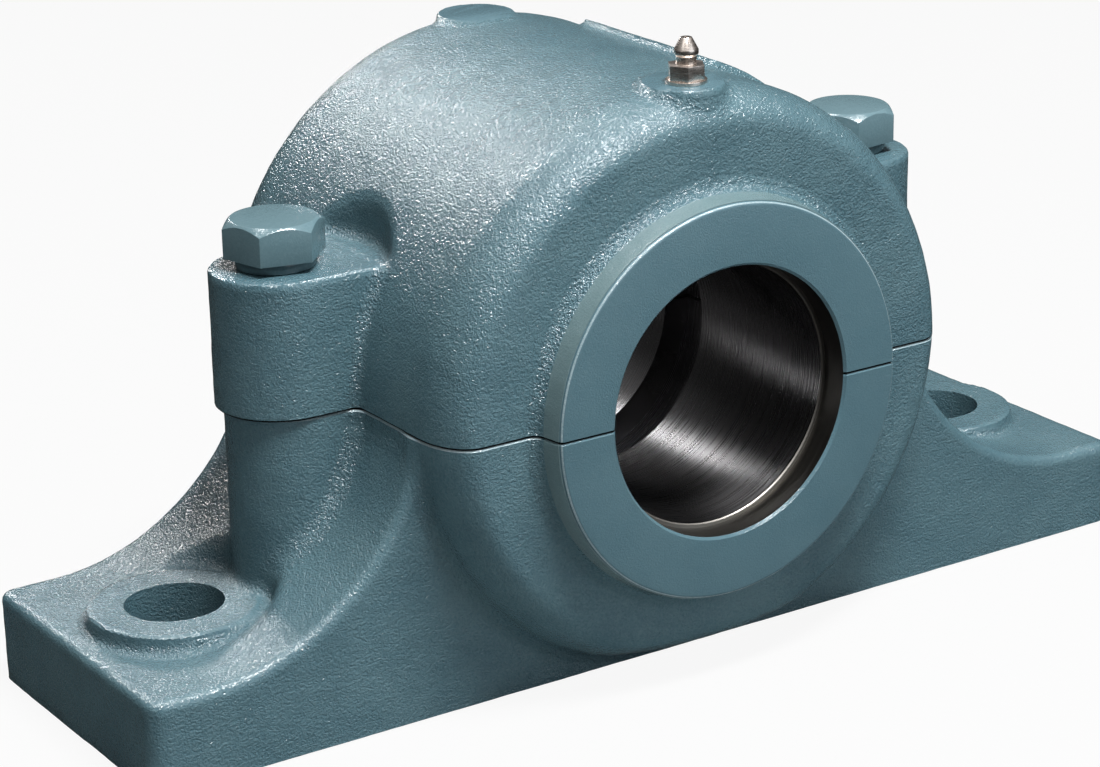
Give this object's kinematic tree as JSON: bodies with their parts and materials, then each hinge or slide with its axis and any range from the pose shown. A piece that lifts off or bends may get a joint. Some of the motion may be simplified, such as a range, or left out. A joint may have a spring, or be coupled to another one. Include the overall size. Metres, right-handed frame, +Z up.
{
  "type": "split plummer block housing",
  "caption": "Two-part cast-iron plummer block housing with a horizontal joint, through bore, cap screws, slotted bolt-down feet and a grease nipple on the cap.",
  "frame": {"origin": "middle of the machined underside of the base, below the shaft axis", "axes": "+X along the feet, +Y along the shaft, +Z up from the underside; the grease nipple is on the -Y side of the crest"},
  "size_m": [0.322, 0.145, 0.1734],
  "materials": {
    "housing_paint": "blue-grey enamel over sand-cast iron, satin",
    "screw_paint": "same enamel over a smooth forged head",
    "washer_steel": "dark phosphated spring steel",
    "bright_steel": "ground",
    "plated_nipple": "nickel-plated, turned"
  },
  "bodies": {
    "housing": {"base": "housing_paint", "cap": "housing_paint", "cap_bolt_right": "screw_paint", "cap_bolt_left": "screw_paint", "spring_washer_right": "washer_steel", "spring_washer_left": "washer_steel", "dowel_pin_right": "bright_steel", "dowel_pin_left": "bright_steel", "grease_nipple": "plated_nipple", "nipple_washer": "plated_nipple", "nipple_spring": "bright_steel"},
    "check_ball": {"nipple_ball": "bright_steel"}
  },
  "joints": [
    {"name": "check_ball_lift", "type": "slide", "parent": "housing", "child": "check_ball", "axis": [0, 0, 1], "range_m": [-0.001, 0], "stiffness_N_per_m": 200, "springref_m": 0.0005, "deforming": ["nipple_spring"]}
  ]
}
